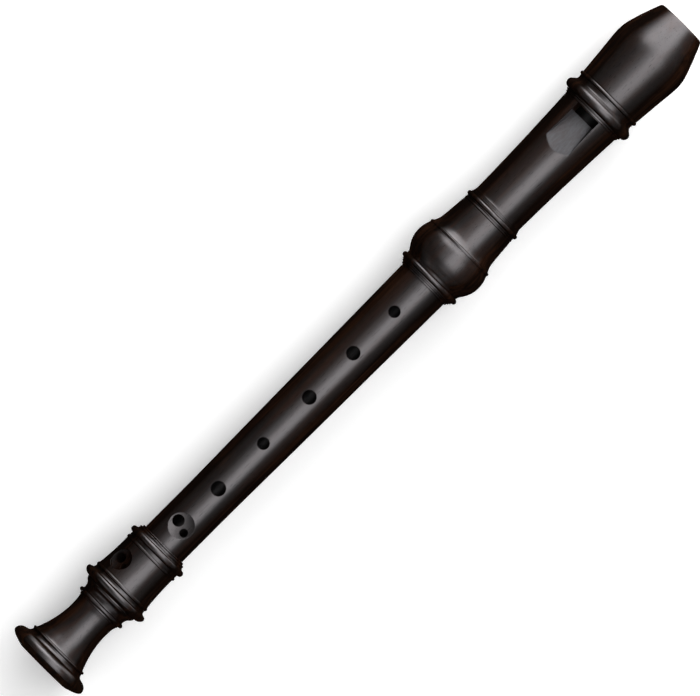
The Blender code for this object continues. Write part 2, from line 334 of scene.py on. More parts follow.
def linked(name: str, data: bpy.types.ID) -> Object:
    """Object for a mesh, a lamp or a camera, in the scene."""
    made = bpy.data.objects.new(name, data)
    bpy.context.scene.collection.objects.link(made)
    return made


def settle(rough: Object) -> Object:
    """Plain object with the mesh that an object's modifiers give; the old object is removed."""
    graph = bpy.context.evaluated_depsgraph_get()
    mesh = bpy.data.meshes.new_from_object(rough.evaluated_get(graph))
    name = rough.name
    bpy.data.objects.remove(rough, do_unlink=True)
    mesh.name = name
    return linked(name, mesh)


def shaped(
    name: str, tree: NodeTree, outline: Sequence[Sequence[float]], sizes: Mapping[str, Any]
) -> Object:
    """Mesh that a tree makes from an outline.

    Args:
        name: Name of the object.
        tree: Turning or boring tree.
        outline: Points of the outline, in order.
        sizes: Values of the tree's named inputs.

    Returns:
        An object with a plain mesh, on the bench.
    """
    mesh = bpy.data.meshes.new(name)
    mesh.from_pydata([(*point, 0.0, 0.0)[:3] for point in outline], [], [])
    rough = linked(name, mesh)
    modifier = rough.modifiers.new(tree.name, "NODES")
    modifier.node_group = tree
    for item in tree.interface.items_tree:
        if item.in_out == "INPUT" and item.name in sizes:
            modifier[item.identifier] = sizes[item.name]
    return settle(rough)


def loft(name: str, sections: Sequence[Sequence[Place]], *finishes: Material) -> Object:
    """Closed solid through sections that have equally many points.

    Args:
        name: Name of the object.
        sections: Closed outlines, each a list of places.
        finishes: Its materials; every face starts with the first.

    Returns:
        An object with a plain mesh, on the bench.
    """
    size = len(sections[0])
    places = [point for section in sections for point in section]
    faces = [tuple(range(size)), tuple(reversed(range(len(places) - size, len(places))))]
    for start in range(0, len(places) - size, size):
        for i in range(size):
            after = (i + 1) % size
            faces.append((start + after, start + i, start + size + i, start + size + after))
    mesh = bpy.data.meshes.new(name)
    mesh.from_pydata(places, [], faces)
    for finish in finishes:
        mesh.materials.append(finish)
    return linked(name, mesh)


def places_of(mesh: bpy.types.Mesh) -> np.ndarray:
    """Places of a mesh's vertices, a row for each."""
    flat = np.empty(len(mesh.vertices) * 3)
    mesh.vertices.foreach_get("co", flat)
    return flat.reshape(-1, 3)


def outward(piece: Object) -> None:
    """Turn the faces of a closed mesh outwards, by the sign of its volume."""
    mesh = piece.data
    mesh.calc_loop_triangles()
    corners = np.empty(len(mesh.loop_triangles) * 3, dtype=np.int32)
    mesh.loop_triangles.foreach_get("vertices", corners)
    a, b, c = np.moveaxis(places_of(mesh)[corners.reshape(-1, 3)], 1, 0)
    if np.einsum("ij,ij->i", a, np.cross(b, c)).sum() < 0:
        mesh.flip_normals()


def cut(piece: Object, tools: Sequence[Object]) -> Object:
    """Take tools away from a piece, leaving each tool's finish on the places that it cut.

    Args:
        piece: The solid.
        tools: Closed solids, which are used up.

    Returns:
        The cut piece.
    """
    outward(piece)
    for tool in tools:
        outward(tool)
        boolean = piece.modifiers.new(tool.name, "BOOLEAN")
        boolean.operation = "DIFFERENCE"
        boolean.solver = "MANIFOLD"
        boolean.material_mode = "TRANSFER"
        boolean.object = tool
    result = settle(piece)
    for tool in tools:
        bpy.data.objects.remove(tool, do_unlink=True)
    return result


# Finishes


class MaterialTree(Nodes):
    """Tree of a new material, with the nodes that the finishes share."""

    def __init__(self, name: str) -> None:
        """Make a material whose tree has only its coordinates."""
        self.material = bpy.data.materials.new(name)
        self.material.use_nodes = True
        self.material.node_tree.nodes.clear()
        super().__init__(self.material.node_tree)
        self.coordinates = self.add("ShaderNodeTexCoord").outputs

    def drawn(self, scale: Place, shift: Place = (0.0, 0.0, 0.0)) -> NodeSocket:
        """Object coordinates, scaled along each axis and shifted."""
        sockets = {"Vector": self.coordinates["Object"], "Location": shift, "Scale": scale}
        return self.add("ShaderNodeMapping", sockets).outputs[0]

    def noise(
        self, scale: Place, detail: float, distortion: float = 0.0, shift: Place = (0.0, 0.0, 0.0)
    ) -> Value:
        """Noise over the object.

        Args:
            scale: How often the noise changes in a metre, along each axis.
            detail: Octaves of the noise.
            distortion: How much it wavers.
            shift: Where in the noise the object lies.

        Returns:
            The noise, from 0 to 1.
        """
        sockets = {"Scale": 1.0, "Detail": detail, "Distortion": distortion}
        return self.number("ShaderNodeTexNoise", {"Vector": self.drawn(scale, shift), **sockets})

    def mix(self, factor: Value, first: Any, second: Any) -> NodeSocket:
        """Blend of two colours, each a link or its red, green and blue."""
        first, second = ((*end, 1.0) if isinstance(end, tuple) else end for end in (first, second))
        sockets = {0: factor, 6: first, 7: second}
        return self.add("ShaderNodeMix", sockets, data_type="RGBA").outputs[2]

    def bump(self, strength: float, depth: float, height: Value) -> NodeSocket:
        """Normal of a relief that is so many metres deep."""
        sockets = {"Strength": strength, "Distance": depth, "Height": height}
        return self.add("ShaderNodeBump", sockets).outputs[0]

    def principled(self, **sockets: Any) -> Node:
        """Principled shader; the sockets' names have underscores for spaces."""
        named = {name.replace("_", " "): value for name, value in sockets.items()}
        return self.add("ShaderNodeBsdfPrincipled", named)

    def done(self, shader: Node) -> Material:
        """End the tree with its shader, and give the material."""
        self.add("ShaderNodeOutputMaterial", {"Surface": shader.outputs[0]})
        return self.material


@dataclass(frozen=True)
class Work:
    """What a tool leaves behind on wood: how light, dull, glossy and rough the place is, and how much
    pale grey is mixed in, which is partly the bare wood's paleness and partly a painted reflection of the
    light overhead.

    Fade says how far its gloss goes down round the sides of the wood and in its grooves.
    """

    tone: float
    roughness: float
    gloss: float
    relief: float
    fade: float = 1.0
    pale_and_sheen: float = 0.0


class Surface(Enum):
    """Ways in which the wood was worked, and a darker, less glossy copy of the faced finish that is
    painted shade.
    """

    POLISHED = Work(tone=1.0, roughness=0.34, gloss=1.0, relief=0.45)
    BORED = Work(tone=0.8, roughness=0.40, gloss=0.4, relief=0.8, fade=0.0)
    FACED = Work(tone=1.0, roughness=0.38, gloss=1.0, relief=0.6)
    # Painted shade: a darker, less glossy copy of the faced finish, for the foot's spot face that lies
    # round the side of the tube.
    DULLED = Work(tone=0.7, roughness=0.40, gloss=0.42, relief=0.6)
    # Scraped ramp: made paler by its tone and its pale grey, partly for bare wood and partly as a painted
    # reflection of the light overhead.
    SCRAPED = Work(tone=1.6, roughness=0.50, gloss=0.25, relief=0.7, fade=0.0, pale_and_sheen=0.66)


@dataclass(frozen=True)
class Grenadilla:
    """Near-black wood with faint brown figure, fine pores along the grain and an oiled polish."""

    piece: str
    surface: Surface
    shift: Place
    dark: Place = (0.0040, 0.0024, 0.0018)
    brown: Place = (0.0220, 0.0088, 0.0046)
    pore: Place = (0.0020, 0.0014, 0.0012)
    gloss_index: float = 1.95
    gloss_tint: Place = (1.0, 0.95, 0.98)
    # Cool pale grey of scraped places: partly bare wood, partly a painted reflection of the light
    # overhead.
    pale_and_sheen: Place = (0.098, 0.100, 0.108)
    pore_depth: float = 0.00002

    def material(self) -> Material:
        """Build the material.

        Returns:
            Material that reads Object coordinates, with the grain along X.
        """
        work = self.surface.value
        nodes = MaterialTree(f"grenadilla_{self.surface.name.lower()}_{self.piece}")
        figure = nodes.noise((9.0, 270.0, 270.0), 4.0, 0.7, self.shift)
        fibre = nodes.noise((38.0, 1500.0, 1500.0), 3.0, 0.2, self.shift)
        vessels = nodes.noise((260.0, 4300.0, 4300.0), 2.0, 0.0, self.shift)
        mottle = nodes.noise((55.0, 190.0, 190.0), 3.0, 0.4, self.shift)
        streak = (figure * 0.55 + fibre * 0.25 + mottle * 0.2).smooth(0.42, 0.70)
        pores = vessels.smooth(0.62, 0.72)
        dark, brown = (tuple(c * work.tone for c in tone) for tone in (self.dark, self.brown))
        filled = nodes.mix(pores * 0.7, nodes.mix(streak, dark, brown), self.pore)
        # Pale grey streaked along the grain on scraped places: partly bare wood, partly a painted
        # reflection of the light overhead.
        colour = nodes.mix((1.5 - fibre) * work.pale_and_sheen, filled, self.pale_and_sheen)
        relief = fibre * 0.5 + figure * 0.3 - pores * 0.6
        bump = nodes.bump(work.relief, self.pore_depth, relief)
        bare = nodes.principled(Base_Color=colour, Roughness=0.7, Specular_IOR_Level=0.0, Normal=bump)
        oiled = nodes.principled(
            Base_Color=colour,
            Roughness=work.roughness + (0.5 - figure) * 0.16,
            IOR=self.gloss_index,
            Specular_Tint=(*self.gloss_tint, 1.0),
            Normal=bump,
        )
        polish = 1.0 - (1.0 - self._polish(nodes)) * work.fade
        gloss = polish * (1.0 - pores * 0.5) * (1.32 - figure * 0.45 - mottle * 0.4) * work.gloss
        sockets = {0: gloss, 1: bare.outputs[0], 2: oiled.outputs[0]}
        return nodes.done(nodes.add("ShaderNodeMixShader", sockets))

    def _polish(self, nodes: MaterialTree) -> Value:
        """Gloss that fades round the sides of the turned wood, in its grooves and towards the foot."""
        along = nodes.number("ShaderNodeSeparateXYZ", {0: nodes.coordinates["Normal"]})
        towards = 1.0 - nodes.number("ShaderNodeLayerWeight", {"Blend": 0.5}, "Facing")
        back = (0.0 - along).math("MAXIMUM", 0.0)
        around = 1.0 - towards * towards / (1.0 - along * along) + back * back * 0.5
        ends = (1.0 - back.smooth(0.3, 0.8)) * (1.0 - along.smooth(0.82, 0.95))
        return (1.0 - around.smooth(0.05, 0.54)) * ends


@dataclass(frozen=True)
class Cedar:
    """Bare planed cedar with growth lines along the block."""

    early: Place = (0.50, 0.27, 0.14)
    late: Place = (0.30, 0.13, 0.065)
    ring: float = 0.0011
    pith: Place = (0.0, 0.031, 0.052)
    grain_depth: float = 0.00004

    def material(self) -> Material:
        """Build the material.

        Returns:
            Material that reads Object coordinates, with the grain along X.
        """
        nodes = MaterialTree("cedar_planed")
        flat = nodes.drawn((0.03, 1.0, 1.0), self.pith)
        fibre = nodes.noise((60.0, 2600.0, 2600.0), 3.0)
        waver = nodes.noise((90.0, 90.0, 90.0), 2.0)
        depth = nodes.number("ShaderNodeVectorMath", {0: flat}, "Value", operation="LENGTH")
        turn = (depth / self.ring + waver * 0.5) % 1.0
        late = turn.smooth(0.35, 0.95) * (1.0 - turn.smooth(0.95, 1.0))
        wood = nodes.mix(late * 0.75 + fibre * 0.25, self.early, self.late)
        bump = nodes.bump(0.6, self.grain_depth, fibre + late * 0.5)
        return nodes.done(nodes.principled(Base_Color=wood, Roughness=fibre * 0.15 + 0.58, Normal=bump))


@dataclass(frozen=True)
class Cork:
    """Sanded sheet cork with dark lenticels, greased where it slides."""

    pale: Place = (0.56, 0.37, 0.21)
    deep: Place = (0.36, 0.20, 0.10)
    fleck: Place = (0.10, 0.05, 0.03)
    cells: float = 1500.0
    cell_depth: float = 0.00008

    def material(self) -> Material:
        """Build the material.

        Returns:
            Material that reads Object coordinates.
        """
        nodes = MaterialTree("cork_sheet")
        place = {"Vector": nodes.coordinates["Object"], "Scale": self.cells}
        cells = nodes.number("ShaderNodeTexVoronoi", place, "Distance")
        cloud = nodes.noise((320.0, 320.0, 320.0), 5.0)
        fleck = nodes.noise((1500.0, 420.0, 420.0), 2.0).smooth(0.63, 0.70)
        sheet = nodes.mix(cloud.smooth(0.3, 0.75), self.pale, self.deep)
        colour = nodes.mix(fleck, sheet, self.fleck)
        bump = nodes.bump(0.8, self.cell_depth, cells * 0.5 + cloud * 0.5 - fleck)
        return nodes.done(nodes.principled(Base_Color=colour, Roughness=cloud * 0.2 + 0.55, Normal=bump))


# The workshop


@dataclass
class Workshop:
    """What every sub-assembly needs: the trees and the place of the bench in the frame."""

    turning: NodeTree = field(default_factory=turning_tree)
    boring: NodeTree = field(default_factory=boring_tree)

    def bench(self) -> Matrix:
        """Matrix that takes the bench's millimetres to the frame, from the joint of the head."""
        joint = next(joint for joint in frame["joints"] if joint["name"] == "head_turn")
        axis = Vector(joint["axis"])
        origin = Vector(joint["pos_m"]) - axis * HEAD_MOUTH * MM
        lean = atan2(-axis.z, axis.x)
        return Matrix.Translation(origin) @ Matrix.Rotation(lean, 4, "Y") @ Matrix.Scale(MM, 4)

    def turned(
        self, name: str, outline: Sequence[Point], finish: Material, closed: bool = False
    ) -> Object:
        """Solid turned on the recorder's axis.

        Args:
            name: Name of the object.
            outline: Places along the axis and radii, from the beak side to the foot side.
            finish: Material of its surface.
            closed: Whether the outline goes on into a bore and back to its first point.

        Returns:
            The solid, on the bench.
        """
        sizes = {"Segments": SEGMENTS, "Closed": int(closed), "Finish": finish}
        return shaped(name, self.turning, outline, sizes)

    def hand_over(self, piece: Object, front: float, body: str, node: str, slot: str) -> None:
        """Args:
            piece: The piece, on the bench.
            front: Degrees by which its front is turned to the player's right hand.
            body: Body that it rides on.
            node: Solid that it stands for.
            slot: Material slot of the record; not used.
        """
        mesh = piece.data
        if mesh.materials[0] is None:
            mesh.materials.pop(index=0)
        mesh.transform(self.bench() @ Matrix.Rotation(-radians(front), 4, "X"))
        mesh.shade_smooth()
        mesh.set_sharp_from_angle(angle=radians(SMOOTH_ANGLE))
        mesh.update()
        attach(piece, body)
        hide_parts(node)
        LOG.info("%s: %d faces, rides on %s", piece.name, len(mesh.polygons), body)


@dataclass
class Drilling:
    """Round hole or spot face in the front of a tube.

    Its floor is a height over the axis, sunk by dish in the middle. Its edge has the radius ease
    and follows the tube, or lies level at on_flat, and the tool rises so far above it.
    """

    name: str
    along: float
    across: float
    diameter: float
    floor: float
    ease: float = 0.18
    rise: float = 3.0
    on_flat: float | None = None
    dish: float = 0.0

    def outline(self) -> list[Place]:
        """Drill's outline from its point up, with a flare that eases the hole's edge.

        Returns:
            Radius, height and follow of each point, as the boring tree reads them.
        """
        radius = self.diameter / 2
        outer = radius + self.ease
        follow, level = (1.0, 0.0) if self.on_flat is None else (0.0, self.on_flat)
        steps = DISH_STEPS if self.dish else 1
        floor = [
            (radius * i / steps, self.floor - self.dish * (1 - (i / steps) ** 2), 0.0)
            for i in range(steps + 1)
        ]
        flare = [
            (radius + self.ease * (1 - cos(a)), level - self.ease * (1 - sin(a)), follow)
            for a in [pi / 2 * i / FLARE_STEPS for i in range(FLARE_STEPS + 1)]
        ]
        edge = [*flare, (outer, level + LAP, follow)] if self.ease else []
        top = level + self.rise
        return [*floor, *edge, (outer, top, follow), (0.0, top, follow)]

    def tool(self, shop: Workshop, outside: Sequence[Point], finish: Material) -> Object:
        """Closed drill for a tube with that outline.

        Args:
            shop: The workshop.
            outside: Outline of the tube.
            finish: Material that the cut leaves.

        Returns:
            The tool, on the bench, for the front of the tube.
        """
        below, at, above = (radius_at(outside, self.along + step) for step in (-1.0, 0.0, 1.0))
        sizes = {"Segments": HOLE_SEGMENTS, "Closed": 0, "Finish": finish, "Surface": at}
        sizes |= {"Taper": (above - below) / 2, "Across": self.across, "Along": self.along}
        return shaped(self.name, shop.boring, self.outline(), sizes)


@dataclass
class DoubleHole:
    """Spot face with a large and a small hole in it, for a semitone.

    Each hole is how far it lies to the left of the face's centre and above it, and its diameter.
    """

    name: str
    along: float
    face: float
    floor: float
    large: Place
    small: Place
    ease: float = 0.12
    dish: float = 0.8
    bore_depth: float = 2.0

    def tools(
        self, shop: Workshop, outside: Sequence[Point], bored: Material, faced: Material
    ) -> list[Object]:
        """Closed drills of the spot face and of its two holes.

        Args:
            shop: The workshop.
            outside: Outline of the tube.
            bored: Material inside the holes.
            faced: Material of the spot face.

        Returns:
            The tools, on the bench.
        """
        name, floor = f"{self.name}_face", self.floor
        spot = Drilling(name, self.along, 0.0, self.face, floor, ease=self.ease, dish=self.dish)
        made = [spot.tool(shop, outside, faced)]
        level = {"ease": 0.0, "rise": 1.0, "on_flat": floor}
        for label, (left, up, diameter) in (("large", self.large), ("small", self.small)):
            name, along = f"{self.name}_{label}", self.along + up
            hole = Drilling(name, along, left, diameter, self.bore_depth, **level)
            made.append(hole.tool(shop, outside, bored))
        return made


# Sub-assemblies


@dataclass
class Joint:
    """Joint of dark wood, turned and then cut, with its front turned by some degrees."""

    shop: Workshop
    name: ClassVar[str]
    front: ClassVar[float]

    def blank(self) -> list[Point]:
        """Outline of the uncut turning."""
        raise NotImplementedError

    def carve_blank(self, piece: Object) -> None:
        """Carve the turning before it is cut; only the head needs it."""

    def tools(self, finishes: Mapping[Surface, Material]) -> list[Object]:
        """Tools that are taken away from the turning.

        Args:
            finishes: Material for each way of working the wood.

        Returns:
            Closed tools, on the bench.
        """
        raise NotImplementedError

    def build(self, shift: Place) -> Object:
        """Args:
            shift: Where in the billet's grain the joint lies.

        Returns:
            The piece.
        """
        finishes = {way: Grenadilla(self.name, way, shift).material() for way in Surface}
        piece = self.shop.turned(f"{self.name}_wood", self.blank(), finishes[Surface.POLISHED])
        self.carve_blank(piece)
        piece = cut(piece, self.tools(finishes))
        self.shop.hand_over(piece, self.front, self.name, f"{self.name}_joint", "grenadilla")
        return piece


@dataclass
class Head(Joint):
    """Head joint: beak, windway, window and labium, the bulge round the socket and its rings."""

    name: ClassVar[str] = "head"
    front: ClassVar[float] = 6.75
    bore: float = 7.0
    socket: float = 9.0
    socket_depth: float = 22.0
    # Window, with the height of its tools, and the arched ramp that starts at the labium's edge
    window_top: float = 278.4
    window_edge: float = 275.3
    tool_floor: float = 3.0
    tool_top: float = 17.0
    edge_half: float = 4.55
    edge_arch: float = 11.0
    ramp_edge: float = 7.3
    ramp_rise: float = 0.2706
    ramp_widening: float = 0.087
    ramp_start: float = 256.0
    start_arch: float = 30.0
    arch_end: float = 260.0
    # Walls of the ramp: the lower one takes the dark bored finish as painted shade, and leans more below
    # a height
    wall_lean: float = 0.15
    wall_facing: float = 0.9
    lower_lean: float = 0.28
    wall_top: float = 11.2
    # Windway, and how it opens beyond its exit and its mouth: along, upwards and to each side
    windway_floor: float = 6.2
    windway_roof: float = 7.3
    windway_half: float = 4.55
    windway_exit: tuple[Place, ...] = ((-0.5, 0.8, 0.05), (0.35, 0.0, 0.0))
    windway_mouth: tuple[Place, ...] = ((-0.35, 0.0, 0.0), (1.0, 1.35, 0.3))
    # Round cut that hollows the back of the beak
    cut_radius: float = 60.0
    cut_along: float = 333.35
    cut_depth: float = 56.816
    cut_ease: float = 0.7
    beak_start: float = 288.35

    def blank(self) -> list[Point]:
        """Outline from the tip of the beak to the mouth of the socket."""
        beak = [(324.2, 10.5), (322.85, 11.0), (318.55, 12.46), (314.3, 13.8), (312.1, 14.42)]
        crest = [(309.9, 14.85), (307.6, 15.0), (305.2, 14.88), (298.3, 14.2), (288.35, 13.3)]
        tube = [(278.5, 12.27), (275.7, 12.11), (269.2, 11.81), (260.6, 11.47), (250.9, 11.12)]
        cove = [(214.3, 12.72), (213.3, 13.12), (212.7, 13.45), (212.4, 13.75), (212.28, 14.15)]
        return [
            (TIP, 0.0),
            *[(TIP, 10.2 * i / 6) for i in range(1, 7)],
            *[(TIP - bend, 10.2 + 0.38 * bend) for bend in (0.15, 0.35, 0.6)],
            *smooth_run([*beak, *crest]),
            *bead(287.4, 0.72, 13.2, 13.79),
            (286.6, 13.1),
            *smooth_run([(286.3, 13.04), (285.75, 12.95), (285.2, 12.95), (284.9, 13.01)], 0.12),
            *smooth_run([(284.68, 13.17), (284.35, 13.5), (284.0, 13.86), (283.6, 14.34)], 0.12),
            *bead(RING[0], 1.9, 13.4, RING[1], 26)[7:],
            *fillet(280.15, 279.5, 13.2),
            (279.48, 12.7),
            *fillet(279.4, 278.6, 12.72),
            *smooth_run([*tube, (240.0, 10.85), (231.3, 10.7)], 0.9),
            *fillet(231.1, 230.55, 10.86, 0.06),
            *fillet(230.5, 229.95, 11.06, 0.06),
            *fillet(229.9, 229.3, 11.3, 0.06),
            *bead(228.4, 0.85, 11.42, 12.2, 18),
            *fillet(227.5, 226.95, 11.42, 0.08),
            *bead(226.4, 0.45, 11.3, 11.6, 8),
            *smooth_run([(225.9, 11.45), (224.4, 11.63), (220.8, 11.93), (217.0, 12.26), (215.1, 12.53)]),
            *smooth_run(cove, 0.2),
            *fillet(212.15, 211.4, 14.32, 0.08),
            (211.35, 14.12),
            *smooth_run([(210.8, 14.26), (209.0, 14.86), (206.3, 15.18), (203.6, 14.89), (201.5, 14.12)]),
            *smooth_run([(200.4, 13.5), (199.3, 12.76), (198.6, 12.32), (197.7, 12.1)], 0.25),
            *bead(196.5, 1.08, 12.05, 13.2, 20),
            *fillet(195.4, 194.85, 12.02, 0.08),
            *fillet(194.8, 194.2, 11.5, 0.08),
            *fillet(194.15, HEAD_MOUTH, 10.95, 0.12),
            (HEAD_MOUTH, 10.4),
            (HEAD_MOUTH, 0.0),
        ]

    def cut_height(self, along: np.ndarray) -> np.ndarray:
        """Height of the hollow at the back of the beak over the axis."""
        chord = self.cut_radius**2 - (along - self.cut_along) ** 2
        return np.sqrt(np.clip(chord, 0.0, None)) - self.cut_depth

    def carve(self, piece: Object, outline: Sequence[Point], ease: float) -> None:
        """Draw the back of the beak up to its hollow, with eased edges there and at the tip.

        Args:
            piece: Head or block, closed and round, with its front up.
            outline: Its outline in the beak, from the tip down.
            ease: Radius of the eased edges.
        """
        mesh = piece.data
        x, y, z = places_of(mesh).T
        steps = sorted(outline)
        rim = np.interp(x, *zip(*steps))
        level = self.cut_height(x)
        centre = np.clip((level + rim) / 2, 0.0, None)
        share = np.hypot(y, z) / rim
        left, up = np.sin(np.arctan2(y, z)), np.cos(np.arctan2(y, z))
        near, far = np.zeros_like(x), 2 * rim
        for _ in range(BISECTIONS):
            reach = (near + far) / 2
            high = up * reach
            edges = [np.hypot(left * reach, centre + high) - rim, level - centre - high, x - TIP]
            depths = np.stack(edges) + ease
            over = np.sqrt((np.clip(depths, 0.0, None) ** 2).sum(0)) + np.clip(depths.max(0), None, 0.0)
            inside = over <= ease + 1e-6
            near, far = np.where(inside, reach, near), np.where(inside, far, reach)
        beak = x > steps[0][0]
        y = np.where(beak, left * near * share, y)
        z = np.where(beak, centre + up * near * share, z)
        mesh.vertices.foreach_set("co", np.stack([x, y, z], 1).ravel())
        mesh.update()

    def carve_blank(self, piece: Object) -> None:
        """Hollow the back of the beak; the first six points are on the tip's face."""
        beak = [point for point in self.blank()[6:] if point[0] >= self.beak_start]
        self.carve(piece, beak, self.cut_ease)

    def ramp_section(self, along: float) -> list[Place]:
        """Section of the ramp's tool across the head.

        Args:
            along: Place of the section.

        Returns:
            Points round the section, the same number at each place.
        """
        rise = self.window_edge - along
        part = min(max(rise / (self.window_edge - self.arch_end), 0.0), 1.0)
        bend = (1 - part) / self.edge_arch + part / self.start_arch
        half = self.edge_half + self.ramp_widening * rise
        middle = self.ramp_edge + self.ramp_rise * rise
        side = middle - bend * half**2 / 2
        top = self.tool_top
        lower = half - (self.lower_lean - self.wall_lean) * max(self.wall_top - side, 0.0)
        across = [(half + lower) * i / SECTION_STEPS - lower for i in range(SECTION_STEPS + 1)]
        return [
            (along, -lower - self.lower_lean * (top - side), top),
            *[(along, y, middle - bend * y**2 / 2) for y in across],
            (along, half + self.wall_lean * (top - side), top),
        ]

    def opening_section(self, along: float) -> list[Place]:
        """Section of the opening between the windway and the labium's edge, with the ramp's walls."""
        side = self.ramp_edge - self.edge_half**2 / self.edge_arch / 2
        spread = self.edge_half + self.wall_lean * (self.tool_top - side)
        right = [(self.edge_half, self.tool_floor), (self.edge_half, side), (spread, self.tool_top)]
        left = [(-y, z) for y, z in reversed(right)]
        return [(along, y, z) for y, z in (*left, *right)]

    def windway_section(self, along: float, roof: float, floor: float, half: float) -> list[Place]:
        """Section of the channel over the block, round like the bore above and below."""
        across = [half * (2 * i / SECTION_STEPS - 1) for i in range(SECTION_STEPS + 1)]
        upper = [(along, y, sqrt(roof**2 - y**2)) for y in across]
        lower = [(along, y, sqrt(floor**2 - y**2)) for y in reversed(across)]
        return [*upper, *lower]

    def tools(self, finishes: Mapping[Surface, Material]) -> list[Object]:
        """Bore, windway, ramp and window."""
        bored = finishes[Surface.BORED]
        end = HEAD_MOUTH + self.socket_depth
        bore = [
            (TIP + OVERCUT, 0.0),
            (TIP + OVERCUT, self.bore),
            (end, self.bore),
            (end, self.socket),
            *socket_mouth(HEAD_MOUTH, self.socket, -1.0),
        ]
        length = self.window_edge - self.ramp_start
        places = [self.ramp_start + length * i / RAMP_STEPS for i in range(RAMP_STEPS + 1)]
        sections = [self.ramp_section(place) for place in [*places, self.window_edge + LAP]]
        ramp = loft("labium_ramp", sections, finishes[Surface.SCRAPED], bored)
        # The lower wall's faces take the dark bored finish: painted shade where that wall lies in shadow.
        # The other faces keep the pale scraped finish.
        for face in ramp.data.polygons:
            face.material_index = int(face.center.y < 0 and abs(face.normal.y) > self.wall_facing)
        opening = [self.opening_section(place) for place in (self.window_edge, self.window_top)]
        roof, floor, half = self.windway_roof, self.windway_floor - 1.0, self.windway_half
        channel = [
            self.windway_section(start + along, roof + up, floor, half + out)
            for start, steps in ((self.window_top, self.windway_exit), (TIP, self.windway_mouth))
            for along, up, out in steps
        ]
        return [
            self.shop.turned("head_bore", bore, bored),
            loft("windway", channel, bored),
            ramp,
            loft("window_opening", opening, bored),
        ]


@dataclass
class Block:
    """Cedar plug that closes the beak and carries the windway's floor."""

    head: Head
    radius: float = 6.7
    chamfer: float = 0.45
    ease: float = 0.15
    gap: float = 0.3
    bevel: float = 0.3
    spacing: float = 0.5
    side_room: float = 0.1

    def build(self, finish: Material) -> Object:
        """Args:
            finish: Its material.

        Returns:
            The piece.
        """
        head, radius = self.head, self.radius
        start = head.window_top + self.gap
        bevel = start + self.bevel
        steps = round((TIP - bevel) / self.spacing)
        outline = [
            (TIP, 0.0),
            *[(TIP, radius * i / 8) for i in range(1, 9)],
            *[(TIP - self.ease * i / 3, radius) for i in range(1, 4)],
            *[(TIP - self.spacing * i, radius) for i in range(1, steps + 1)],
            (bevel, radius),
            (start, radius - self.bevel),
            *[(start, (radius - self.bevel) * (1 - i / 6)) for i in range(1, 7)],
        ]
        block = head.shop.turned("block_cedar", outline, finish)
        head.carve(block, [(TIP, radius), (head.beak_start, radius)], self.ease)
        floor, half = head.windway_floor, head.windway_half + self.side_room
        sections = [
            head.windway_section(along, radius + 1.5, level, half)
            for along, level in (
                (start - 1.0, floor - self.chamfer - 1.0),
                (start + self.chamfer, floor),
                (TIP - 0.3, floor),
                (TIP + 1.0, floor - 1.0),
            )
        ]
        block = cut(block, [loft("windway_floor", sections, finish)])
        head.shop.hand_over(block, head.front, "block", "block", "cedar")
        return block


@dataclass
class Tenon:
    """Tenon with a bed for its cork, seen from the shoulder outwards."""

    socket: float
    end: float
    cork: Point
    ease: float = 0.4
    bed_depth: float = 1.0
    chamfer: float = 0.4
    crown: float = 0.22
    cork_ease: float = 0.45

    def outline(self, shoulder: float) -> list[Point]:
        """Outline from the end of the tenon to the shoulder of the tube."""
        wood = self.socket - self.ease
        bed = wood - self.bed_depth
        inward = 1.0 if shoulder > self.end else -1.0
        near, far = self.cork if inward > 0 else reversed(self.cork)
        return [
            (self.end, wood - self.chamfer),
            (self.end + self.chamfer * inward, wood),
            (near - CLEARANCE * inward, wood),
            (near - CLEARANCE * inward, bed),
            (far + CLEARANCE * inward, bed),
            (far + CLEARANCE * inward, wood),
            (shoulder, wood),
        ]

    def sleeve(self, shop: Workshop, name: str, body: str, node: str, finish: Material) -> Object:
        """Args:
            shop: The workshop.
            name: Name of the piece.
            body: Body that it rides on.
            node: Solid that it stands for.
            finish: Its material.

        Returns:
            The piece.
        """
        low, high = self.cork
        outer = self.socket - CLEARANCE
        inner = self.socket - self.ease - self.bed_depth + CLEARANCE
        edge = outer - self.cork_ease
        parts = [i / SECTION_STEPS for i in range(1, SECTION_STEPS)]
        sides = [(high - (high - low) * t, outer - self.crown * (2 * t - 1) ** 6) for t in parts]
        outline = [(high, inner), (high, edge), *sides, (low, edge), (low, inner)]
        sleeve = shop.turned(name, outline, finish, closed=True)
        outward(sleeve)
        shop.hand_over(sleeve, 0.0, body, node, "cork")
        return sleeve


